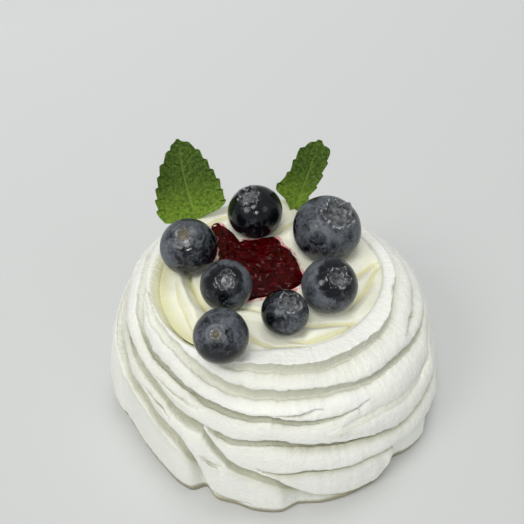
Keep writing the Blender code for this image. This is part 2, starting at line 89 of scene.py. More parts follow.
# Ridges by azimuth, which runs on past 180 for the next turns of the spiral: height of the edge, how far the
# underside cuts in and drops to the groove, and how much of the ridge shows.
RIDGES = {
    "A": {"z": [(-28, 41.3), (-20, 42.1), (-14, 42.4), (20, 42.5), (55, 43), (75, 44.5), (100, 44.5),
            (130, 43), (180, 42), (240, 42.5), (268, 42.5), (284, 41), (296, 38), (306, 36.5), (320, 35.5),
            (335, 34), (350, 33), (362, 33.1), (372, 33.3), (381, 33.3)],
          "cut": [(-28, 0.1), (60, 0.1), (90, 0.8), (180, 2), (250, 1.5), (284, 2.5), (300, 3.5),
            (350, 3.2), (368, 1.8), (381, 0.2)],
          "drop": [(-28, 0.5), (-20, 1.8), (-10, 2.6), (60, 2.8), (110, 1.6), (240, 1.6), (284, 2.4),
            (300, 2.8), (345, 2.6), (368, 1.4), (381, 0.2)],
          "show": [(-28, 0), (-18, 1), (362, 1), (378, 0)]},
    "B": {"z": [(-80, 42.1), (-59, 41.6), (-44, 41), (-36, 40.3), (-29, 39.5), (-7, 38), (7, 38),
            (34, 36.5), (52, 36), (70, 34.5), (90, 34), (270, 34), (289, 33), (303, 32.5), (312, 31.5),
            (323, 29), (338, 27), (347, 26), (359, 27), (365, 26), (382, 23.5), (395, 21.5), (404, 20),
            (412, 20.5), (430, 21.5), (470, 21.5), (520, 20.5)],
          "cut": [(-80, 0.1), (-38, 0.2), (-10, 0.3), (20, 0.8), (52, 1.5), (90, 2.5), (180, 3), (290, 3.5),
            (330, 4), (345, 3), (365, 4), (400, 3.5), (440, 3), (520, 0.6)],
          "drop": [(-80, 0.7), (-60, 1.5), (-40, 2.2), (-20, 3.4), (12, 3.6), (26, 3), (60, 2.4),
            (90, 1.8), (270, 2), (300, 3.2), (330, 3.4), (340, 2.6), (352, 2), (362, 2.8), (400, 2),
            (440, 1.8), (520, 0.8)],
          "show": [(-82, 0), (-66, 1), (480, 1), (522, 0)]},
    "C": {"z": [(54, 38), (68, 38.5), (84, 39), (180, 38.5), (230, 38.5), (262, 38.5), (282, 37)],
          "cut": [(54, 0.6), (70, 2), (180, 2), (240, 2), (270, 2), (284, 0.6)],
          "drop": [(54, 1.2), (70, 2), (180, 1.8), (262, 2), (284, 1.2)],
          "show": [(54, 0), (66, 1), (250, 1), (284, 0)]},
    "D": {"z": [(-2, 32.7), (2, 32.2), (8, 31.4), (20, 31), (33, 32)],
          "cut": [(-2, 3.1), (20, 2), (33, 0.6)],
          "drop": [(-2, 2.3), (8, 1.7), (20, 1.2), (33, 0.6)],
          "show": [(-2, 1), (20, 1), (34, 0)]},
    "E": {"z": [(14, 27.5), (31, 28.5), (48, 27), (75, 28), (110, 28.5), (240, 28.5), (280, 28),
            (296, 27.5), (300, 26.5), (309, 26), (319, 23.5), (332, 19.5), (337, 13.5), (339, 9.6),
            (341, 7.2), (345, 5.4), (350, 4.4), (356, 3.8)],
          "cut": [(14, -1.2), (50, -0.8), (75, 0.8), (110, 2.5), (180, 3), (290, 3.5), (322, 4.4), (342, 4),
            (350, 2), (356, 0.4)],
          "drop": [(14, 1), (60, 1.6), (110, 1.8), (240, 1.8), (290, 3), (318, 3.8), (338, 4),
            (346, 2.4), (356, 0.5)],
          "show": [(12, 0), (28, 1), (344, 1), (356, 0)]},
    "F": {"z": [(-49, 32), (-41, 31.9), (-33, 31.4), (-24, 30.8)],
          "cut": [(-49, 0.8), (-35, 1), (-24, 0.2)],
          "drop": [(-49, 0.6), (-35, 0.8), (-24, 0.2)],
          "show": [(-49, 0), (-46, 1), (-33, 1), (-24.5, 0)]},
    "H": {"z": [(-51, 26.7), (-46, 26.6), (-40, 25.8), (-35, 24.8)],
          "cut": [(-51, 1), (-44, 2), (-35, 0.6)],
          "drop": [(-51, 0.5), (-44, 1.4), (-35, 0.4)],
          "show": [(-52, 0), (-49, 1), (-40, 1), (-35, 0)]},
    "M": {"z": [(-8, 18.6), (-4, 18), (-1, 17.6), (11, 17.5), (20, 16), (32, 15.5), (48, 13), (68, 13),
            (90, 13.5), (180, 13.5), (240, 13), (270, 11.5), (282, 9.5), (291, 6.4), (299, 3.8)],
          "cut": [(-8, 0.6), (0, 2.2), (30, 3.5), (60, 3), (240, 3.5), (282, 4), (291, 2.5), (299, 0.4)],
          "drop": [(-8, 0.5), (0, 1.5), (30, 1.7), (60, 2), (240, 2.2), (282, 3), (291, 2), (299, 0.4)],
          "show": [(-8, 0), (-3, 1), (294, 1), (299, 0)]},
    "K": {"z": [(-25, 18.6), (-22.8, 18.2), (-19.6, 17.7), (-16, 17.6)],
          "cut": [(-25, 0.4), (-20, 1.6), (-16, 0.3)],
          "drop": [(-25, 0.4), (-20, 1.2), (-16, 0.3)],
          "show": [(-25, 0), (-22.5, 1), (-18.5, 1), (-16, 0)]},
    "N": {"z": [(-24, 26.6), (-22, 25.2), (-20, 23.7), (-17.5, 22), (-14, 19.9), (-11, 18.6), (-8, 17.9),
            (-5, 17.2), (-2, 16.2), (1, 14.8), (4, 12.6), (7, 10.4), (10, 8.8), (16, 6.5), (21, 5.2),
            (26, 4.5), (31, 4.4), (34, 5.4), (38, 10.5), (41, 12.5)],
          "cut": [(-24, 3.3), (10, 3.5), (36, 3), (41, 0.5)],
          "drop": [(-24, 2.8), (-14, 3), (10, 2.8), (36, 2), (41, 0.5)],
          "show": [(-24, 1), (38, 1), (41, 0)]},
}
# A ridge that shows this much is whole.
WHOLE = 0.999
# Every ridge and its turn, from the top down.
STACK = ["A0", "C0", "B0", "A1", "C1", "F0", "D0", "E0", "B1", "H0", "M0", "N0", "K0", "E1", "M1"]
# A ridge's face from the groove above to its edge, as how far out and how far down each turn of it lies.
FACE_SHAPE = [(0.34, 0.14), (0.66, 0.36), (0.9, 0.7)]
# Which ridges stand over a wide flat step, and how wide it is, from 0 to 1.
STEPS = {"E": [(240, 0), (286, 0.5), (310, 1), (350, 1), (360, 0.5)],
         "B": [(285, 0), (306, 0.7), (332, 0.7), (344, 0.2), (470, 0)],
         "N": [(-24, 1), (6, 1), (16, 0.3), (41, 0)]}
# A ridge that starts this close below another takes over its groove.
BRANCH_GAP = 1.5
# How far the shelf under a ridge runs on past its edge, and how much it rises there.
SHELF = [(-180, 0.4), (-115, 0.8), (-95, 1.8), (-35, 1.9), (-15, 1), (10, 0.5), (60, 0.6), (110, 0.5),
         (180, 0.4)]
SHELF_RISE = 0.35
# Painted shade in a groove: at least, for each millimetre of its underside, and how far it spreads below.
GROOVE_SHADE_LEAST = 0.22
GROOVE_SHADE_MORE = 0.19
GROOVE_SHADE_SPREAD = [(-180, 1), (-110, 1), (-80, 1.2), (-50, 1.6), (-15, 1.2), (30, 0.8), (110, 0.7),
                 (180, 1)]
# Times further the painted shade spreads over the face that ends at the foot, and right under the topmost
# ridge.
FOOT_SHADE = [(-180, 1), (-30, 1), (-27, 2), (-24, 4), (-21, 3), (-17, 1), (-2, 1), (3, 2.5), (9, 2.5),
              (14, 1), (180, 1)]
RIM_SHADE = [(-180, 1), (-60, 1), (-20, 2), (-5, 2.6), (50, 2.6), (80, 1.5), (110, 1), (180, 1)]
# Uneven edges, swellings as (size, depth), and fine streaks along the piping.
RAGGED = 0.26
RAGGED_SIZE = 4.0
SWELL = [(9, 0.22), (3.2, 0.1), (1.1, 0.05)]
STREAK_DEPTH = 0.10

# Cream: height of its edge, and its piped folds.
CREAM_AROUND = 420
CREAM_RINGS = 84
CREAM_EDGE_Z = [(-180, 44.4), (-140, 44), (-105, 42.8), (-70, 42.3), (-30, 41.6), (0, 41.3), (40, 41.6),
                (75, 42.6), (110, 43.4), (150, 44.2), (180, 44.4)]
CREAM_CROWN_Z = 43.9
CREAM_SEAT = 0.5
CREAM_WALL_INSET = 1.4
FOLD_PROFILE = [(-2.2, 0), (-0.9, -0.15), (0, -1), (0.8, -0.25), (2, 0.35), (3.6, 0.85), (4.6, 0.7),
                (6.5, 0.15), (8.5, 0)]
# Each fold: depth, width factor, and the line of its crease, with the rope that rises from it on the left.
CREAM_FOLDS = [
    (1.9, 0.8, [(-17, -19), (-20.6, -13.1), (-22.2, -9.7), (-23.6, -5.8), (-24, 2)]),
    (0.9, 0.4, [(-27.6, -5), (-26.6, -10.5), (-25, -15.2), (-23.2, -19.2), (-21.4, -22.6), (-19, -26)]),
    (1.2, 0.6, [(8, -28.6), (4.1, -28.4), (0.4, -28.8), (-2.5, -28), (-5.5, -26.6), (-9, -24)]),
    (0.9, 0.5, [(0, -18.8), (-4, -18.2), (-7.4, -17.5), (-12, -17)]),
    (1.3, 0.6, [(20.5, -20), (19.8, -20.5), (17.2, -21), (13.3, -21.4), (10.2, -22), (6, -22.5)]),
    (1.2, 0.55, [(21, -19), (17, -22.8), (14.4, -24.2), (10.5, -25.9), (6.5, -26.8), (2, -26.6)]),
    (1.1, 0.7, [(30, 0.5), (28.2, 0.9), (24.5, -2.2), (22, -4.6), (18, -9)]),
    (1.1, 0.7, [(28.8, 0), (28.2, -1.2), (26.4, -4.4), (24.6, -8.3), (22.3, -11.8), (18, -17)]),
    (1, 0.8, [(26, 12), (18, 18), (10, 19), (4, 17), (0, 12)]),
    (1, 0.8, [(-2, 27), (-10, 22), (-18, 19), (-25, 12)]),
]

# Jam: outline about its middle.
JAM_CENTRE = (-9, 4)
JAM_R = [(-180, 6), (-165, 5.8), (-158, 8.6), (-155, 11.9), (-149, 15.3), (-143, 16.5), (-137, 16.1),
         (-128, 13.5), (-115, 10), (-100, 8), (-80, 8), (-60, 9), (-30, 13), (-10, 18), (5, 19.5),
         (15, 19.2), (30, 19.4), (46, 20.6), (54, 20.5), (62, 19.2), (68, 17.2), (82, 15.4), (96, 13.3),
         (110, 11.8), (124, 12.2), (130, 11.6), (138, 9), (150, 7), (180, 6)]
JAM_TOP_Z = 44.5
JAM_THICK = 1.5
JAM_AROUND = 280
JAM_RINGS = 64

# Blueberries: centre, width, height, the way the crown points, turn of its lobes, the end that shows and its
# size, how much wax there is, how many degrees of bare skin ring the crown, and the way in which wax gathers.
BERRIES = {
    "back": dict(
        centre=(-6, 16.2, 49.2), width=16.2, height=15, crown=(-0.25, -0.2, 0.95), turn=10,
        end="crown", size=0.36, bloom=-0.28, bare=0, gathers=(-0.7, -0.6, -0.3)),
    "large": dict(
        centre=(14.2, 6.9, 50.2), width=19.4, height=17.6, crown=(0.27, -0.34, 0.9), turn=25, end="crown",
        size=0.44, bloom=0.48, bare=0, gathers=(0, -0.3, 0.9)),
    "left": dict(
        centre=(-24, 0.3, 49.4), width=15.8, height=15.2, crown=(-0.1, -0.37, 0.92), turn=0, end="stem",
        size=0.3, bloom=0.46, bare=0, gathers=(-0.8, -0.2, 0.5)),
    "middle": dict(
        centre=(-13.2, -14.2, 48.8), width=13.5, height=12.8, crown=(0.04, -0.57, 0.82), turn=40,
        end="crown", size=0.34, bloom=0.62, bare=36, gathers=(0.5, 0.6, 0.5)),
    "front_left": dict(
        centre=(-13.7, -31.2, 48.6), width=13.4, height=13.4, crown=(-0.14, -0.61, 0.78), turn=0,
        end="stem", size=0.2, bloom=0.36, bare=0, gathers=(0.3, 0.1, 0.9)),
    "front": dict(
        centre=(1.7, -22.4, 47.4), width=12, height=11.2, crown=(0.2, -0.28, 0.94), turn=15, end="crown",
        size=0.44, bloom=0.3, bare=0, gathers=(0.6, -0.7, 0.1)),
    "right": dict(
        centre=(13.3, -14.6, 49.2), width=14.6, height=14.2, crown=(0.27, -0.47, 0.84), turn=5, end="crown",
        size=0.34, bloom=0.72, bare=40, gathers=(-0.8, -0.3, 0.2)),
}
BERRY_AROUND = 120
BERRY_ROWS = 62

# Mint leaves: base, tip, the way the upper face looks, cupping, teeth, bend of the midrib, and outline as
# (part of the length, half width at the left, half width at the right).
LEAVES = {
    "mint_leaf_left": dict(
        base=(-23.7, 19.6, 42.5), tip=(-28.3, 27, 67.1), looks=(0.12, -0.82, 0.56), cup=1.6, teeth=8,
        midrib=-0.6,
        outline=[(0, 0.8, 0.8), (0.05, 2, 1.5), (0.09, 8.2, 4.5), (0.14, 9.8, 8), (0.3, 10.3, 9.4),
                 (0.42, 9.7, 9.2), (0.55, 8.5, 8), (0.75, 6, 6), (0.88, 3.2, 4), (0.95, 1.8, 2),
                 (1, 0.4, 0.4)]),
    "mint_leaf_right": dict(
        base=(5.2, 23.4, 42.5), tip=(12.9, 29.5, 65.3), looks=(-0.05, -0.82, 0.56), cup=1.8, teeth=6,
        midrib=0.2,
        outline=[(0, 0.8, 0.8), (0.08, 1.5, 1.8), (0.16, 3.5, 2.4), (0.26, 7.2, 2.8), (0.33, 7.2, 3.2),
                 (0.43, 5.8, 3.9), (0.55, 5.2, 4.2), (0.8, 4.4, 4.2), (0.9, 3, 3.6), (1, 0.6, 0.8)]),
}
LEAF_ROWS = 150
LEAF_ACROSS = 72
LEAF_THICK = 0.45
TOOTH = 0.85

CAMERA_AT = (-4, -130.84, 161.93)
CAMERA_LOOKS_AT = (-4, 49, 0)
CAMERA_ANGLE = 45.0

# Lamps: place and width in metres, watts and colour.
LAMPS = {
    "key": ((-0.6, -1.2, 3.4), 1.4, 40, (1, 0.99, 0.97)),
    "left": ((-2, -1.5, 2.3), 1.2, 24, (1, 0.99, 0.97)),
    "right": ((1.9, -1.3, 2.3), 1.2, 4, (1, 0.99, 0.98)),
    "top": ((0.2, 0.95, 3.2), 1.2, 16, (1, 0.99, 0.98)),
    "lens": ((0.12, -1.9, 1.72), 0.36, 9, (1, 1, 1)),
}
LAMPS_LOOK_AT = (0, 0, 0.03)


def through(knots, x):
    """Smooth curve through knots that never overshoots them, for a number or an array."""
    xs, ys = np.array(knots, float).T
    gaps = np.diff(xs)
    rises = np.diff(ys) / gaps
    slopes = np.zeros(len(xs))
    mean = (gaps[1:] * rises[:-1] + gaps[:-1] * rises[1:]) / (gaps[1:] + gaps[:-1])
    slopes[1:-1] = np.where(rises[:-1] * rises[1:] > 0, mean, 0)
    x = np.clip(x, xs[0], xs[-1])
    i = np.clip(np.searchsorted(xs, x, side="right") - 1, 0, len(xs) - 2)
    t = (x - xs[i]) / gaps[i]
    ends = ys[i] * (2 * t**3 - 3 * t * t + 1) + ys[i + 1] * (3 * t * t - 2 * t**3)
    return ends + gaps[i] * (slopes[i] * (t**3 - 2 * t * t + t) + slopes[i + 1] * (t**3 - t * t))


def ease(x):
    x = np.clip(x, 0.0, 1.0)
    return x * x * (3 - 2 * x)


def lumps(points, size, seed):
    """Smooth noise between about -1 and 1 at each point, with lumps of this size."""
    scaled = np.asarray(points, float) / size + seed * 7.31
    return np.array([noise.noise(Vector(p)) for p in scaled])


def waviness(along, size, seed):
    """Smooth noise along an edge, for azimuths in degrees that may run past 180."""
    return np.array([noise.noise(Vector((a / size, seed * 3.7, 0.5))) for a in np.atleast_1d(along)])


def around(count):
    """Angles in radians, all round from the back."""
    return np.arange(count) * 2 * math.pi / count - math.pi


def disc(reach, az, parts):
    """Plan points of the middle and of one ring at each part of the reach."""
    rings = [np.column_stack([p * reach * np.sin(az), -p * reach * np.cos(az)]) for p in parts]
    return np.concatenate([[(0.0, 0.0)]] + rings)


def ring_faces(count, total):
    """Faces of a closed piece whose points are a middle, rings of this count going down, and a middle."""
    rows = range(1, total - 1, count)
    faces = []
    for j in range(count):
        n = (j + 1) % count
        faces.append((0, rows[0] + j, rows[0] + n))
        faces += [(up + j, low + j, low + n, up + n) for up, low in zip(rows, rows[1:])]
        faces.append((total - 1, rows[-1] + n, rows[-1] + j))
    return faces


def vertex_normals(points, faces):
    """Unit normals of a triangle mesh at its points."""
    a, b, c = (points[faces[:, i]] for i in range(3))
    flat = np.cross(b - a, c - a)
    normals = np.zeros_like(points)
    for i in range(3):
        np.add.at(normals, faces[:, i], flat)
    return normals / np.maximum(np.linalg.norm(normals, axis=1, keepdims=True), 1e-12)


def add_piece(name, points, faces, material, nodes, masks=None):
    """Smooth-shaded piece that rides on the frame and stands for CAD nodes. Masks are per-point values."""
    mesh = bpy.data.meshes.new(name)
    mesh.from_pydata((np.asarray(points) * MM).tolist(), [], [list(map(int, f)) for f in faces])
    mesh.polygons.foreach_set("use_smooth", [True] * len(mesh.polygons))
    for mask, values in (masks or {}).items():
        mesh.attributes.new(mask, "FLOAT", "POINT").data.foreach_set("value", np.asarray(values, np.float32))
    mesh.update()
    mesh.materials.append(material)
    piece = bpy.data.objects.new(name, mesh)
    bpy.context.scene.collection.objects.link(piece)
    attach(piece, "root")
    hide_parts(*nodes)
    return piece


# ---------------- meringue nest


def heap_radius(az, z):
    xs, ys = zip(*HEAP)
    middle = np.exp(-(((z - 18) / 11.0) ** 2))
    low = np.exp(-np.maximum(z - BASE_EDGE_Z, 0) / 4.0)
    high = ease((z - 26) / 14.0)
    foot = through(FOOT, az) - np.interp(BASE_EDGE_Z, xs, ys)
    return np.interp(z, xs, ys) + middle * through(SIDE, az) + low * foot + high * through(LEAN, az)


def ridge_table(azimuths):
    """(radius, height, cut, drop, show, step) by azimuth of every ridge, nan where there is none."""
    table = {}
    for label in STACK:
        line = RIDGES[label[0]]
        seed = ord(label[0])
        along = azimuths + 360 * int(label[1])
        inside = (along >= line["z"][0][0]) & (along <= line["z"][-1][0])
        uneven = waviness(along, RAGGED_SIZE, seed) + 0.6 * waviness(along, RAGGED_SIZE / 2.7, 3 + seed)
        z = through(line["z"], along) + RAGGED * uneven
        r = heap_radius(azimuths, z) + 0.8 * RAGGED * waviness(along, RAGGED_SIZE * 1.7, 9 + seed)
        step = through(STEPS[label[0]], along) if label[0] in STEPS else 0 * along
        row = np.stack([r, z, through(line["cut"], along), through(line["drop"], along),
                        ease(through(line["show"], along)), step])
        table[label] = np.where(inside, row, np.nan)
    return table


def smooth_path(corners, count):
    """Count points after the first on a smooth curve through the corners."""
    corners = np.array(corners, float)
    along = np.concatenate([[0], np.cumsum(np.hypot(*np.diff(corners, axis=0).T) ** 0.5)])
    t = np.linspace(0, along[-1], count + 1)[1:]
    before = np.vstack([2 * corners[0] - corners[1], corners, 2 * corners[-1] - corners[-2]])
    knots = np.concatenate([[-along[1]], along, [2 * along[-1] - along[-2]]])
    i = np.clip(np.searchsorted(along, t, side="right") - 1, 0, len(corners) - 2) + 1
    gap = knots[i + 1] - knots[i]
    u = ((t - knots[i]) / gap)[:, None]
    start = (before[i + 1] - before[i - 1]) * (gap / (knots[i + 1] - knots[i - 1]))[:, None]
    stop = (before[i + 2] - before[i]) * (gap / (knots[i + 2] - knots[i]))[:, None]
    ends = before[i] * (2 * u**3 - 3 * u * u + 1) + before[i + 1] * (3 * u * u - 2 * u**3)
    return ends + start * (u**3 - 2 * u * u + u) + stop * (u**3 - u * u)


def face(start, end, over, shelf, step):
    """Outer face of one ridge: out along the shelf under the ridge above, then rounded over to its edge."""
    start = np.array(start, float)
    end = np.array(end, float)
    count = max(3, int(round(1.1 * math.hypot(*(end - start)) / FACE_STEP)))
    corners = [start]
    reach = min(over + shelf, (0.62 + 0.26 * step) * (end[0] - start[0])) * float(ease(shelf / 0.6))
    if reach > 0.2:
        rise = SHELF_RISE * min(shelf, reach) * (1 - step)
        corners.append(start + (0.62 * reach, -0.1))
        corners.append(start + (0.94 * reach, 0.12 * rise))
        start = start + (reach + 0.5 * rise, rise - 0.25 * step)
        corners.append(start)
    corners += [start + (end - start) * np.array(turn) for turn in FACE_SHAPE] + [end]
    return smooth_path(corners, count)


def under(edge, cut, drop, room):
    """Underside of a ridge, from its thin edge in and down to the groove."""
    size = min(1.0, max(room, 0.05) / (1.45 * drop))
    inward = cut * size
    fall = drop * size
    lip = np.array([edge[0] - 0.05, edge[1] - 0.5 * EDGE_LIP * size])
    turn = np.array([edge[0] - 0.12 * inward - 0.08, edge[1] - EDGE_LIP * size])
    groove = np.array([edge[0] - inward, edge[1] - fall])
    return np.array([lip, turn, turn * 0.5 + groove * 0.5 + (0, 0.10 * fall), groove])


def resample(points, count):
    along = np.concatenate([[0], np.cumsum(np.hypot(*np.diff(points, axis=0).T))])
    if along[-1] < 1e-9:
        return np.repeat(points[-1:], count, axis=0)
    t = np.linspace(0, along[-1], count + 1)[1:]
    return np.column_stack([np.interp(t, along, points[:, 0]), np.interp(t, along, points[:, 1])])


def outer_profile(top, foot_r, found, shelf):
    """[label, face, underside, step above it] of each ridge from the top of the rim down, and of the foot."""
    strong = [r for r in found if r[5] > WHOLE]
    faint = [r for r in found if r[5] <= WHOLE]
    rank = {label: i for i, label in enumerate(STACK + ["foot"])}
    nearness = [float(r[5] * (1 - ease((r[2] - BASE_EDGE_Z) / TUCK_BELOW))) for r in found]
    near = max(nearness)
    low = np.array([min(found[nearness.index(near)][1] - TUCK, foot_r), TUCKED_Z])
    foot = low * near + np.array([foot_r, BASE_EDGE_Z]) * (1 - near)
    pieces = []
    start = top
    over = 0.0
    stepped = 0.0
    for i, (label, r, z, cut, drop, _show, step) in enumerate(strong):
        below = strong[i + 1][2] if i + 1 < len(strong) else foot[1]
        last = rank[strong[i + 1][0]] if i + 1 < len(strong) else len(STACK)
        for other in faint:
            if rank[label] < rank[other[0]] < last:
                below = below * (1 - other[5] ** 2) + other[2] * other[5] ** 2
        lip = under((r, z), cut, drop, z - below)
        pieces.append([label, face(start, (r, z), over, shelf * bool(i), stepped), lip, stepped])
        stepped = step
        start = lip[-1]
        over = r - start[0]
    pieces.append(["foot", face(start, foot, over, shelf, stepped), np.zeros((0, 2)), stepped])
    for label, r, z, cut, drop, show, step in faint:
        j = next(i for i, piece in enumerate(pieces) if rank[piece[0]] > rank[label])
        start = np.array(top, float) if j == 0 else pieces[j - 1][2][-1]
        end = pieces[j][1][-1]
        whole = np.vstack([start[None], pieces[j][1]])
        lip = under((r, z), cut / max(show, 0.25), drop / max(show, 0.25), z - end[1])
        hit = [i for i in range(len(whole) - 1) if whole[i][1] >= z > whole[i + 1][1]]
        at = hit[-1] if hit else (0 if z > whole[0][1] else len(whole) - 2)
        part = float(np.clip((whole[at][1] - z) / max(whole[at][1] - whole[at + 1][1], 1e-6), 0, 1))
        split = whole[at] * (1 - part) + whole[at + 1] * part
        over = pieces[j - 1][1][-1][0] - start[0] if j else 0.0
        own_upper = face(start, (r, z), over, shelf * bool(j), pieces[j][3])
        own_lower = face(lip[-1], end, r - lip[-1][0], shelf, step)
        upper = resample(np.vstack([whole[: at + 1], split]), len(own_upper))
        lower = resample(np.vstack([split, whole[at + 1:]]), len(own_lower))
        lip = split * (1 - show) + lip * show
        pieces.insert(j, [label, upper * (1 - show) + own_upper * show, lip, pieces[j][3]])
        pieces[j + 1][1] = lower * (1 - show) + own_lower * show
    return pieces


def nest_column(found, rim_r, rim_z, seat, slope, foot_r, shelf, spread, foot_shade, rim_shade):
    """(radius, height, painted shade) of points from the floor over the rim to the foot, and which have
    names.
    """
    low = rim_z - slope
    inner = seat + 0.35
    wide = rim_r - seat - 0.35
    points = [(NEST_FLOOR_R, NEST_FLOOR_Z), (seat - CREAM_WALL_INSET, NEST_FLOOR_Z + 2.5),
              (seat - 0.2, low - 2.0), (seat + 0.1, low - 0.8), (inner, low - 0.25),
              (inner + 0.2 * wide, low - 0.05 + 0.1 * slope), (inner + 0.5 * wide, low + 0.55 * slope),
              (inner + 0.8 * wide, low + 0.93 * slope)]
    points = [(*point, 0.0) for point in points]
    names = {"floor": 0, "wall": 1, "seat": 3}

    def add(point, shade=0.0, name=None):
        if math.hypot(point[0] - points[-1][0], point[1] - points[-1][1]) > LEAST_GAP:
            points.append((float(point[0]), float(point[1]), float(shade)))
        if name:
            names[name] = len(points) - 1

    add((rim_r, rim_z), 0.0, "rim")
    edge_r = rim_r
    groove_z = rim_z
    depth = 0.0
    for i, (label, outer, lip, _step) in enumerate(outer_profile((rim_r, rim_z), foot_r, found, shelf)):
        # Painted shade from the groove above fades down this face.
        fade = spread * (foot_shade if label == "foot" else rim_shade if i == 1 else 1)
        for k, point in enumerate(outer):
            away = math.hypot(max(0.0, point[0] - edge_r), max(0.0, groove_z - point[1]))
            if k == len(outer) - 1:
                add(point, 0.0, "edge " + label)
            else:
                add(point, depth * math.exp(-away / fade))
        if len(lip):
            depth = min(1.0, GROOVE_SHADE_LEAST + GROOVE_SHADE_MORE * math.hypot(*(lip[-1] - outer[-1])))
            edge_r = outer[-1][0]
            groove_z = lip[-1][1]
        for k, point in enumerate(lip):
            add(point, 0.0 if k == 0 else depth, "groove " + label if k == len(lip) - 1 else None)
    edge = points[-1]
    # The foot's underside gets painted shade.
    add((edge[0] - 0.1, 0.7 * edge[1]), 0.6)
    add((edge[0] - 0.5 * FOOT_INSET, 0.35 * edge[1]), 1.0)
    add((edge[0] - FOOT_INSET, 0.0), 1.0, "bottom")
    return points, names


def run_of(points, first, start, end):
    """Indices and normalised distances from start to end of one column."""
    along = np.array(points[start: end + 1])[:, :2]
    steps = np.concatenate([[0], np.cumsum(np.hypot(*np.diff(along, axis=0).T))])
    return list(zip(range(first + start, first + end + 1), steps / max(steps[-1], 1e-9)))


def zip_rows(left, right):
    """Triangles between two rows of (index, distance along), both from the top down."""
    out = []
    i = 0
    k = 0
    while i < len(left) - 1 or k < len(right) - 1:
        if k == len(right) - 1 or (i < len(left) - 1 and left[i + 1][1] <= right[k + 1][1]):
            out.append((left[i][0], left[i + 1][0], right[k][0]))
            i += 1
        else:
            out.append((left[i][0], right[k + 1][0], right[k][0]))
            k += 1
    return out


def matched(column, names, other, other_names):
    """Pairs of points that belong together in two neighbouring columns, from the top down."""
    pairs = {name: [names[name], other_names[name]] for name in names if name in other_names}
    for side, (points, here, there) in enumerate([(column, names, other_names), (other, other_names, names)]):
        edges = [name for name in here if name.startswith("edge ")]
        for above, new in zip(edges, edges[1:]):
            groove = above.replace("edge", "groove")
            close = points[here[above]][1] - points[here[new]][1] < BRANCH_GAP
            if new not in there and close and groove in pairs:
                pairs[groove][side] = here[new.replace("edge", "groove")]
    return list(pairs.values())


def next_coil(name):
    """Name that a place on a ridge carries once the ridge has passed the back."""
    return name[:-1] + str(int(name[-1]) + 1) if name[-1] in "01" else name


def nest_mesh():
    azimuths = np.arange(NEST_COLUMNS) * 360.0 / NEST_COLUMNS - 180
    table = ridge_table(azimuths)
    lines = (RIM_R, RIM_Z, CREAM_R, INNER_SLOPE, FOOT, SHELF, GROOVE_SHADE_SPREAD, FOOT_SHADE, RIM_SHADE)
    values = np.column_stack([through(line, azimuths) for line in lines])
    columns = []
    for j in range(NEST_COLUMNS):
        found = [[label, *table[label][:, j]] for label in STACK if not math.isnan(table[label][0, j])]
        columns.append(nest_column(found, *values[j]))
    first = np.cumsum([0] + [len(points) for points, _names in columns])
    points = []
    marks = []
    for az, slope, (column, names) in zip(np.radians(azimuths), values[:, 3], columns):
        for i, (r, z, shade) in enumerate(column):
            points.append((r * math.sin(az), -r * math.cos(az), z))
            smear = min(1.0, slope) * (1 - max(0, i - 4) / 5) if i < names["rim"] else 0.0
            # The brown at the foot is partly browned meringue, partly painted shade where it meets the table.
            base = float(ease((BASE_EDGE_Z - 0.3 - z) / 1.6)) * (i > names["rim"])
            marks.append((shade, smear, base))
    floor = len(points)
    points += [(0.0, 0.0, NEST_FLOOR_Z), (0.0, 0.0, 0.0)]
    marks += [(0.0, 0.0, 0.0), (0.0, 0.0, 1.0)]
    faces = []
    for j, (column, names) in enumerate(columns):
        n = (j + 1) % NEST_COLUMNS
        other, other_names = columns[n]
        if n == 0:
            names = {next_coil(name): i for name, i in names.items()}
        pairs = matched(column, names, other, other_names)
        for upper, lower in zip(pairs, pairs[1:]):
            faces += zip_rows(run_of(column, first[j], upper[0], lower[0]),
                              run_of(other, first[n], upper[1], lower[1]))
        faces.append((floor, first[j], first[n]))
        faces.append((floor + 1, first[n] + len(other) - 1, first[j] + len(column) - 1))
    return np.array(points), np.array(faces), dict(zip(("groove", "smear", "base"), np.array(marks).T))


def nest(material):
    points, faces, masks = nest_mesh()
    normals = vertex_normals(points, faces)
    free = ease((points[:, 2] - 0.1) / 2.5) * ease((np.hypot(points[:, 0], points[:, 1]) - 27) / 2)
    push = np.zeros(len(points))
    for seed, (size, depth) in enumerate(SWELL):
        push += depth * lumps(points, size, seed + 1)
    azimuth = np.degrees(np.arctan2(points[:, 0], -points[:, 1]))
    sweep = np.column_stack([azimuth / 1.3, points[:, 2] / 9.0, np.full(len(points), 0.3)])
    push += STREAK_DEPTH * lumps(sweep, 1.0, 5)
    points = points + normals * (push * free)[:, None]
    return add_piece("meringue", points, faces, material, ["meringue_nest"], masks)


# ---------------- cream


def distance_to(line, plan):
    """Distance of each plan point from a line, positive on its left, and how far along it lies (0 to 1)."""
    knots = np.array(line, float)
    fine = np.linspace(0, len(knots) - 1, 8 * (len(knots) - 1) + 1)
    steps = range(len(knots))
    path = np.column_stack([through(list(zip(steps, knots[:, i])), fine) for i in (0, 1)])
    best = np.full(len(plan), 1e9)
    signed = np.zeros(len(plan))
    part = np.zeros(len(plan))
    for i, (a, b) in enumerate(zip(path, path[1:])):
        way = b - a
        t = np.clip(((plan - a) @ way) / (way @ way), 0, 1)
        off = plan - a - t[:, None] * way
        far = np.hypot(off[:, 0], off[:, 1])
        near = far < best
        best[near] = far[near]
        side = way[0] * off[:, 1] - way[1] * off[:, 0]
        signed[near] = (np.sign(side) * far)[near]
        part[near] = ((i + t) / (len(path) - 1))[near]
    return signed, part


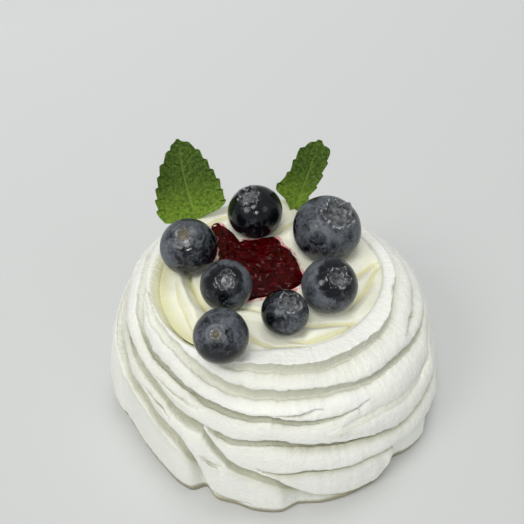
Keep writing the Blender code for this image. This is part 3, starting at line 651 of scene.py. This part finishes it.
def cream_height(plan):
    az = np.degrees(np.arctan2(plan[:, 0], -plan[:, 1]))
    part = np.hypot(plan[:, 0], plan[:, 1]) / through(CREAM_R, az)
    edge = through(CREAM_EDGE_Z, az) - through(INNER_SLOPE, az)
    height = edge + (CREAM_CROWN_Z - edge) * ease((1 - part) * 2.2)
    inner = ease((1 - part) * 12)
    # Painted shade: olive-yellow colour on the slope down from the rim and, below, in the hollows of the
    # folds.
    hollow_shade = ease(1 - (1 - part) * 8) * np.minimum(1, through(INNER_SLOPE, az))
    for strength, wide, line in CREAM_FOLDS:
        off, along = distance_to(line, plan)
        fade = ease(along / 0.18) * ease((1 - along) / 0.18)
        fold = through(FOLD_PROFILE, off / wide)
        height += strength * np.where(fold > 0, fold * inner, fold) * fade
        hollow_shade = np.maximum(hollow_shade, ease(-fold * 1.3) * fade)
    return height, hollow_shade


def cream(material):
    az = around(CREAM_AROUND)
    reach = through(CREAM_R, np.degrees(az)) + 0.25
    plan = disc(reach, az, np.linspace(0.03, 1, CREAM_RINGS))
    height, hollow_shade = cream_height(plan)
    even = np.column_stack([plan, height])
    height = height + (0.10 * lumps(even, 3.0, 11) + 0.04 * lumps(even, 1.0, 12))
    floor = NEST_FLOOR_Z + CREAM_SEAT
    edge = plan[-CREAM_AROUND:]
    foot = (reach - CREAM_WALL_INSET - CREAM_SEAT) / reach
    wall = np.column_stack([edge * foot[:, None], np.full(CREAM_AROUND, floor + 2.4)])
    inner = np.column_stack([edge / reach[:, None] * (NEST_FLOOR_R - 1), np.full(CREAM_AROUND, floor)])
    points = np.concatenate([np.column_stack([plan, height]), wall, inner, [(0.0, 0.0, floor)]])
    stain = np.exp(-np.maximum(outside_jam(points[:, :2]) - 0.3, 0) / 0.35)
    hollow_shade = np.concatenate([hollow_shade, np.zeros(len(points) - len(hollow_shade))])
    faces = ring_faces(CREAM_AROUND, len(points))
    masks = {"stain": stain, "hollow_shade": hollow_shade}
    return add_piece("cream_swirl", points, faces, material, ["cream"], masks)


# ---------------- jam


def outside_jam(plan):
    """Distance from the jam's outline, positive outside, roughly."""
    away = plan - np.array(JAM_CENTRE)
    az = np.degrees(np.arctan2(away[:, 0], -away[:, 1]))
    return np.hypot(away[:, 0], away[:, 1]) - through(JAM_R, az)


def jam(material):
    az = around(JAM_AROUND)
    reach = through(JAM_R, np.degrees(az))
    reach = reach + 0.45 * lumps(np.column_stack([reach * np.sin(az), reach * np.cos(az), az * 0]), 2.2, 21)
    parts = np.linspace(0.03, 1, JAM_RINGS)
    plan = disc(reach, az, parts)
    part = np.concatenate([[0.0], np.repeat(parts, JAM_AROUND)])
    inside = (1 - part) * np.concatenate([[reach.mean()], np.tile(reach, JAM_RINGS)])
    bank = JAM_THICK * (1 - ease(inside / 1.6)) ** 1.6
    flat = np.column_stack([plan, np.zeros(len(plan))])
    pulp = 0.55 * lumps(flat, 3.8, 22) + 0.45 * np.abs(lumps(flat, 2.0, 23)) + 0.06 * lumps(flat, 0.9, 24)
    top = np.column_stack([plan + JAM_CENTRE, JAM_TOP_Z - bank + pulp * ease(inside / 1.2)])
    floor = JAM_TOP_Z - JAM_THICK - 0.5
    low = np.column_stack([plan[-JAM_AROUND:] * 0.92 + JAM_CENTRE, np.full(JAM_AROUND, floor)])
    points = np.concatenate([top, low, [(*JAM_CENTRE, floor)]])
    return add_piece("jam_pool", points, ring_faces(JAM_AROUND, len(points)), material, ["jam"])


# ---------------- blueberries


def crown_rows(half, tall, size):
    """(radius, height, lobe, crown, edge) from the shoulder of the berry in over a crown with five lobes."""
    ring = size * half
    shoulder = tall * math.sqrt(1 - size**2)
    lift = 0.11 * tall
    well = 0.13 * tall
    steps = [(1.3, -0.12, 0, 0, 0), (1.18, -0.02, 0.2, 0.05, 0.1), (1.1, 0.22, 0.6, 0.3, 0.6),
             (1.06, 0.75, 1, 0.5, 1), (1.02, 1, 1, 0.6, 1), (0.95, 0.95, 1, 0.7, 1),
             (0.9, 0.45, 0.9, 0.9, 0.5), (0.86, -0.25, 0.8, 1, 0.1), (0.8, -0.75, 0.6, 1, 0),
             (0.68, -0.95, 0.4, 1, 0), (0.52, -1, 0.25, 1, 0), (0.38, -0.95, 0.1, 1, 0),
             (0.26, -0.9, 0, 1, 0), (0.16, -0.85, 0, 1, 0), (0.07, -0.83, 0, 1, 0)]
    rows = []
    for part, up, lobe, crown, edge in steps:
        base = shoulder if part < 1.15 else tall * math.sqrt(max(1 - (part * size) ** 2, 0))
        rise = up * lift if up > 0 else up * well
        rows.append((part * ring, base + (rise if part < 1.25 else 0), lobe, crown, edge))
    return rows, shoulder - 0.82 * well, lift


def stem_rows(half, tall, size):
    """(radius, height, lobe, crown, edge) from the shoulder in to the scar where the stalk was."""
    ring = size * half
    depth = 0.07 * tall
    steps = [(2.2, 0, 0, 0), (1.8, 0.1, 0, 0), (1.45, 0.3, 0.1, 0), (1.15, 0.6, 0.25, 0.1),
             (0.95, 0.75, 0.5, 0.6), (0.82, 0.7, 0.6, 0.9), (0.7, 0.85, 0.8, 0.5), (0.6, 1, 1, 0),
             (0.45, 0.8, 1, 0), (0.3, 0.6, 1, 0), (0.15, 0.55, 1, 0)]
    rows = []
    for part, down, crown, edge in steps:
        r = part * ring
        rows.append((r, tall * math.sqrt(1 - (r / half) ** 2) - down * depth, 0.15, crown, edge))
    return rows, tall - 0.55 * depth, 0.0


def berry(name, spec, material):
    half = spec["width"] / 2
    tall = spec["height"] / 2
    make = crown_rows if spec["end"] == "crown" else stem_rows
    end_rows, pole, lift = make(half, tall, spec["size"])
    shoulder = math.asin(min(end_rows[0][0] / half, 0.99))
    angles = np.linspace(math.pi, shoulder, BERRY_ROWS + 1)[1:-1]
    rows = [(half * math.sin(a), tall * math.cos(a), 0, 0, 0) for a in angles] + end_rows
    turn = np.arange(BERRY_AROUND) * 2 * math.pi / BERRY_AROUND
    lobes = np.abs(np.cos(2.5 * (turn + math.radians(spec["turn"])))) ** 1.3
    seed = len(name) + spec["turn"]
    torn = waviness(np.degrees(turn) / 8, 1.0, seed) * np.sin(turn / 2)
    local = [(0.0, 0.0, -tall)]
    marks = [(0.0, 0.0)]
    for r, h, lobe, inner, rim in rows:
        wide = r * (1 + lobe * 0.34 * (lobes - 0.6 + 0.5 * torn))
        up = h + rim * lift * (0.9 * (lobes - 0.75) + 0.8 * torn)
        local += list(zip(wide * np.cos(turn), wide * np.sin(turn), up))
        marks += [(inner, rim)] * BERRY_AROUND
    local.append((0.0, 0.0, pole))
    marks.append((1.0, 0.0))
    crown, edge = np.array(marks).T
    local = np.array(local)
    local = local * (1 + 0.012 * lumps(local, 7.0, seed) + 0.004 * lumps(local, 2.0, seed + 1))[:, None]
    axis = Vector(spec["crown"]).normalized()
    spin = np.array(Vector((0, 0, 1)).rotation_difference(axis).to_matrix())
    points = local @ spin.T + np.array(spec["centre"])
    # The rings run upward here, so the faces are turned round.
    faces = [face[:1] + face[:0:-1] for face in ring_faces(BERRY_AROUND, len(points))]
    way = (points - np.array(spec["centre"])) / half
    tilt = np.degrees(np.arccos(np.clip(way @ np.array(axis) / np.linalg.norm(way, axis=1), -1, 1)))
    toward = way @ np.array(Vector(spec["gathers"]).normalized())
    bloom = spec["bloom"] + 0.55 * lumps(points, 4.5, seed + 2) + 0.5 * (toward - 0.2)
    if spec["bare"]:
        bloom = bloom * ease((tilt - spec["bare"] - 4 * lumps(points, 3.0, seed + 3)) / 14)
    scar = crown**3 * (0.8 if spec["end"] == "stem" else 0.0)
    masks = {"bloom": np.clip(bloom, -0.4, 1), "crown": crown, "rim": edge, "scar": scar}
    return add_piece(name + "_skin", points, faces, material, [name], masks)


# ---------------- mint leaves


def leaf(name, spec, material):
    base = Vector(spec["base"])
    along = Vector(spec["tip"]) - base
    length = along.length
    along.normalize()
    across = along.cross(Vector(spec["looks"])).normalized()
    out = np.array(across.cross(along).normalized())
    along = np.array(along)
    across = np.array(across)
    rows = LEAF_ROWS
    wide = LEAF_ACROSS + 1
    t = np.repeat(np.linspace(0, 1, rows), wide)
    s = np.tile(np.linspace(-1, 1, wide), rows)
    left = through([(k[0], k[1]) for k in spec["outline"]], t)
    right = through([(k[0], k[2]) for k in spec["outline"]], t)
    half = np.where(s > 0, right, left)
    phase = t * spec["teeth"] + np.where(s > 0, 0.35, 0.0)
    saw = phase - np.floor(phase)
    toothed = ease((t - 0.12) / 0.08) * ease((0.97 - t) / 0.05)
    tooth = TOOTH * toothed * (saw**1.1 * ease((1 - saw) / 0.14) - 0.35)
    reach = np.abs(s)
    half = half + tooth * ease((reach - 0.55) / 0.45)
    lean = 0.7 * toothed * saw * ease((reach - 0.6) / 0.4)
    # Side veins run out and forward from the midrib; the blade puffs up between them.
    vein_phase = t * 7.5 - 0.20 * reach * half - 0.15 * (s > 0)
    vein = np.abs(vein_phase - np.round(vein_phase)) * 2
    quilt = ease(vein / 0.55) * ease(reach * 7) * ease((1 - reach) * 5)
    rib = np.exp(-((s * half / 0.45) ** 2)) * ease((1 - t) * 3)
    flat = np.column_stack([s * half, t * length, t * 0])
    net = lumps(flat, 0.9, 31)
    bend = spec["cup"] * s * s * np.minimum(half / 6.0, 1.3) - 1.2 * np.sin(math.pi * t)
    wave = 0.35 * lumps(flat, 7.0, 32) * reach
    shift = spec["midrib"] * np.sin(math.pi * t)
    spine = np.array(spec["base"]) + along * (t * length + lean)[:, None]
    middle = spine + across * (s * half + shift * (1 - reach))[:, None]
    lift = bend + wave + 0.13 * quilt + 0.16 * net * quilt - 0.28 * rib
    top = middle + out * (lift + LEAF_THICK / 2)[:, None]
    thin = LEAF_THICK * (1 - 0.6 * reach**4)
    bottom = middle + out * (lift + LEAF_THICK / 2 - thin)[:, None]
    points = np.concatenate([top, bottom])
    back = rows * wide
    faces = []
    for i in range(rows - 1):
        for k in range(LEAF_ACROSS):
            a = i * wide + k
            faces.append((a, a + 1, a + wide + 1, a + wide))
            faces.append((back + a, back + a + wide, back + a + wide + 1, back + a + 1))
    rim = list(range(wide)) + [i * wide + wide - 1 for i in range(1, rows)]
    rim += [(rows - 1) * wide + k for k in range(wide - 2, -1, -1)]
    rim += [i * wide for i in range(rows - 2, 0, -1)]
    faces += [(a, back + a, back + b, b) for a, b in zip(rim, rim[1:] + rim[:1])]
    midrib = np.exp(-((s * half / 0.28) ** 2)) * ease((1 - t) * 2.5)
    veins = np.maximum(midrib, 0.16 * (1 - ease(vein / 0.28)))
    masks = {"vein": np.tile(veins, 2), "low": np.tile(ease((0.62 - t) / 0.5), 2)}
    return add_piece(name + "_blade", points, faces, material, [name], masks)


# ---------------- finishes


def finish_named(name, **sockets):
    """A new material and its node tree, with the same value all over for each named socket of its shader."""
    material = bpy.data.materials.new(name)
    material.use_nodes = True
    tree = material.node_tree
    for socket, value in sockets.items():
        tree.nodes["Principled BSDF"].inputs[socket.replace("_", " ")].default_value = value
    return material, tree


def feed(tree, socket, value):
    """Links a socket from another one, or sets it to a value."""
    if isinstance(value, bpy.types.NodeSocket):
        tree.links.new(value, socket)
    else:
        socket.default_value = value


def made(tree, kind, links=None, **settings):
    """A node with settings, and its inputs linked from sockets or set to values."""
    item = tree.nodes.new(kind)
    for key, value in settings.items():
        setattr(item, key, value)
    for key, value in (links or {}).items():
        feed(tree, item.inputs[key], value)
    return item


def grain(tree, size, detail=2.0, roughness=0.5, distortion=0.0):
    """Noise over the row frame, with lumps of this size in millimetres."""
    coords = made(tree, "ShaderNodeTexCoord").outputs["Object"]
    mapped = made(tree, "ShaderNodeMapping", {"Vector": coords, "Scale": (1 / (size * MM),) * 3})
    return made(tree, "ShaderNodeTexNoise", {"Vector": mapped.outputs[0], "Scale": 1.0, "Detail": detail,
                                             "Roughness": roughness, "Distortion": distortion}).outputs[0]


def mask_of(tree, name):
    return made(tree, "ShaderNodeAttribute", attribute_name=name).outputs["Fac"]


def ranged(tree, value, low, high, to_low=0.0, to_high=1.0):
    links = {"Value": value, "From Min": low, "From Max": high, "To Min": to_low, "To Max": to_high}
    return made(tree, "ShaderNodeMapRange", links).outputs[0]


def blended(tree, part, a, b):
    """Colour that goes from a to b as part goes from 0 to 1."""
    a, b = ((*colour, 1.0) if isinstance(colour, tuple) else colour for colour in (a, b))
    return made(tree, "ShaderNodeMix", {0: part, 6: a, 7: b}, data_type="RGBA").outputs[2]


def math_of(tree, operation, a, b):
    return made(tree, "ShaderNodeMath", {0: a, 1: b}, operation=operation).outputs[0]


def bumped(tree, height, depth, under_normal=None):
    """Normal of a surface roughened by this height, with a depth in millimetres."""
    links = {"Height": height, "Distance": depth * MM, "Strength": 1.0}
    if under_normal is not None:
        links["Normal"] = under_normal
    return made(tree, "ShaderNodeBump", links).outputs[0]


def dressed(material, *sources):
    """The material, with its shader's colour, roughness and normal linked, as many as are given."""
    tree = material.node_tree
    for name, source in zip(("Base Color", "Roughness", "Normal"), sources):
        tree.links.new(source, tree.nodes["Principled BSDF"].inputs[name])
    return material


def meringue_finish():
    material, tree = finish_named("meringue", Subsurface_Weight=0.1, Subsurface_Scale=0.0005,
                                  Subsurface_Radius=(1.0, 0.85, 0.6))
    patches = ranged(tree, grain(tree, 9.0, 3.0), 0.35, 0.7)
    colour = blended(tree, patches, (0.91, 0.915, 0.84), (0.895, 0.9, 0.85))
    # Painted shade in the grooves, below them and under the foot, partly the meringue's own yellower colour
    # there.
    colour = blended(tree, mask_of(tree, "groove"), colour, (0.6, 0.6, 0.48))
    colour = blended(tree, mask_of(tree, "smear"), colour, (0.84, 0.83, 0.52))
    # Brown foot: partly browned meringue, partly painted shade of the dark line where it meets the table.
    colour = blended(tree, mask_of(tree, "base"), colour, (0.31, 0.28, 0.17))
    sheen = ranged(tree, grain(tree, 2.2, 4.0, 0.65), 0.3, 0.7, 0.3, 0.52)
    coarse = bumped(tree, grain(tree, 1.5, 3.0, 0.65), 0.3)
    normal = bumped(tree, grain(tree, 0.5, 2.0, 0.65), 0.17, coarse)
    return dressed(material, colour, sheen, normal)


def cream_finish():
    material, tree = finish_named("cream", Subsurface_Weight=0.3, Subsurface_Scale=0.003,
                                  Subsurface_Radius=(1.0, 0.85, 0.5))
    patches = ranged(tree, grain(tree, 6.0, 3.0), 0.35, 0.7)
    body = blended(tree, patches, (0.86, 0.86, 0.69), (0.9, 0.89, 0.76))
    stain = math_of(tree, "MULTIPLY", mask_of(tree, "stain"), grain(tree, 1.8, 3.0))
    # Painted shade in the hollows of the cream.
    hollow_shaded = blended(tree, math_of(tree, "MULTIPLY", mask_of(tree, "hollow_shade"), 0.75), body, (0.74, 0.71, 0.36))
    colour = blended(tree, ranged(tree, stain, 0.34, 0.56), hollow_shaded, (0.75, 0.22, 0.24))
    sheen = ranged(tree, grain(tree, 2.5, 3.0), 0.3, 0.7, 0.26, 0.42)
    normal = bumped(tree, grain(tree, 0.9, 3.0, 0.55), 0.05)
    return dressed(material, colour, sheen, normal)


def jam_finish():
    material, tree = finish_named("jam", Specular_IOR_Level=0.11)
    clots = ranged(tree, grain(tree, 1.8, 4.0, 0.6), 0.35, 0.7)
    pulp = blended(tree, clots, (0.02, 0.0003, 0.0005), (0.068, 0.001, 0.0015))
    flecks = ranged(tree, grain(tree, 0.9, 2.0, 0.5), 0.62, 0.74, 0.0, 0.5)
    colour = blended(tree, flecks, pulp, (0.24, 0.008, 0.01))
    sheen = ranged(tree, grain(tree, 1.2, 3.0), 0.3, 0.7, 0.04, 0.12)
    seeds = bumped(tree, grain(tree, 2.4, 1.0, 0.5), 0.3)
    normal = bumped(tree, grain(tree, 0.8, 0.0), 0.05, seeds)
    return dressed(material, colour, sheen, normal)


def berry_finish():
    material, tree = finish_named("blueberry", Specular_IOR_Level=0.42)
    rubbed = math_of(tree, "MULTIPLY", grain(tree, 2.4, 6.0, 0.74, distortion=0.8), 3.8)
    wear = math_of(tree, "ADD", rubbed, -1.9)
    wax = ranged(tree, math_of(tree, "ADD", mask_of(tree, "bloom"), wear), 0.12, 1.1)
    bare = ranged(tree, grain(tree, 3.0, 2.0), 0.4, 0.7)
    skin = blended(tree, bare, (0.002, 0.0025, 0.004), (0.007, 0.008, 0.011))
    dusty = blended(tree, grain(tree, 0.7, 3.0, 0.7), (0.033, 0.039, 0.049), (0.19, 0.21, 0.24))
    colour = blended(tree, wax, skin, dusty)
    # Crown: grey mottling of the calyx, kept dark over its well as painted shade.
    ragged = ranged(tree, grain(tree, 1.2, 3.0, 0.6, distortion=0.4), 0.34, 0.7)
    crown = blended(tree, ragged, (0.022, 0.023, 0.024), (0.19, 0.197, 0.205))
    colour = blended(tree, mask_of(tree, "crown"), colour, crown)
    frayed = ranged(tree, grain(tree, 1.3, 3.0, 0.6), 0.45, 0.62)
    torn = math_of(tree, "MULTIPLY", mask_of(tree, "rim"), frayed)
    colour = blended(tree, mask_of(tree, "scar"), colour, (0.11, 0.09, 0.05))
    colour = blended(tree, ranged(tree, torn, 0.2, 1.0, 0.0, 0.9), colour, (0.42, 0.44, 0.46))
    sheen = ranged(tree, wax, 0.0, 0.8, 0.1, 0.44)
    normal = bumped(tree, grain(tree, 0.5, 2.0, 0.6), 0.03)
    return dressed(material, colour, sheen, normal)


def mint_finish():
    material, tree = finish_named("mint", Subsurface_Weight=0.15, Subsurface_Scale=0.0008,
                                  Subsurface_Radius=(0.4, 1.0, 0.1), Specular_IOR_Level=0.22)
    blotches = ranged(tree, grain(tree, 0.8, 3.0, 0.65, distortion=0.4), 0.4, 0.62)
    dark = blended(tree, blotches, (0.036, 0.08, 0.008), (0.115, 0.19, 0.026))
    blotches = ranged(tree, grain(tree, 0.9, 3.0, 0.65, distortion=0.4), 0.38, 0.62)
    light = blended(tree, blotches, (0.085, 0.165, 0.01), (0.22, 0.345, 0.032))
    blade = blended(tree, mask_of(tree, "low"), dark, light)
    colour = blended(tree, math_of(tree, "MULTIPLY", mask_of(tree, "vein"), 0.6), blade, (0.22, 0.34, 0.07))
    sheen = ranged(tree, grain(tree, 1.5, 3.0), 0.3, 0.7, 0.42, 0.62)
    cells = bumped(tree, grain(tree, 0.9, 3.0, 0.6, distortion=0.5), 0.26)
    normal = bumped(tree, grain(tree, 0.3, 2.0), 0.05, cells)
    return dressed(material, colour, sheen, normal)


def floor_finish():
    material, tree = finish_named("floor", Roughness=0.6)
    coords = made(tree, "ShaderNodeTexCoord").outputs["Object"]
    plan = made(tree, "ShaderNodeSeparateXYZ", {"Vector": coords}).outputs
    away = math_of(tree, "SUBTRACT", plan["Y"], math_of(tree, "MULTIPLY", plan["X"], 0.45))
    # Painted light falloff: the floor's colour is lighter towards the back and left, darker towards the front
    # right.
    painted_falloff = blended(tree, ranged(tree, away, -0.13, 0.35), (0.6, 0.61, 0.6), (0.735, 0.75, 0.74))
    return dressed(material, painted_falloff)


# ---------------- stage, lights and camera


def add_floor():
    bpy.ops.mesh.primitive_plane_add(size=3.0, location=(0, 0, 0))
    floor = bpy.context.object
    floor.name = "floor"
    floor.data.materials.append(floor_finish())


def aimed(name, data, at, looks_at):
    """Lamp or camera at one place, looking at another."""
    item = bpy.data.objects.new(name, data)
    item.location = at
    item.rotation_euler = (looks_at - at).to_track_quat("-Z", "Y").to_euler()
    bpy.context.scene.collection.objects.link(item)
    return item


def add_camera():
    lens = bpy.data.cameras.new("camera")
    lens.angle = math.radians(CAMERA_ANGLE)
    lens.clip_start = 0.01
    bpy.context.scene.camera = aimed("camera", lens, Vector(CAMERA_AT) * MM, Vector(CAMERA_LOOKS_AT) * MM)


def add_surroundings():
    world = bpy.data.worlds.new("studio")
    world.use_nodes = True
    background = world.node_tree.nodes["Background"]
    background.inputs["Color"].default_value = (0.95, 0.98, 1.0, 1.0)
    background.inputs["Strength"].default_value = 0.36
    bpy.context.scene.world = world
    for name, (at, width, watts, colour) in LAMPS.items():
        lamp = bpy.data.lights.new(name, "AREA")
        lamp.shape = "DISK"
        lamp.size = width
        lamp.energy = watts
        lamp.color = colour
        aimed(name, lamp, Vector(at), Vector(LAMPS_LOOK_AT))
    bpy.context.scene.view_settings.view_transform = "Standard"


def main():
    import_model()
    add_floor()
    add_surroundings()
    add_camera()
    nest(meringue_finish())
    cream(cream_finish())
    jam(jam_finish())
    skin = berry_finish()
    for name, spec in BERRIES.items():
        berry("blueberry_" + name, spec, skin)
    mint = mint_finish()
    for name, spec in LEAVES.items():
        leaf(name, spec, mint)


main()
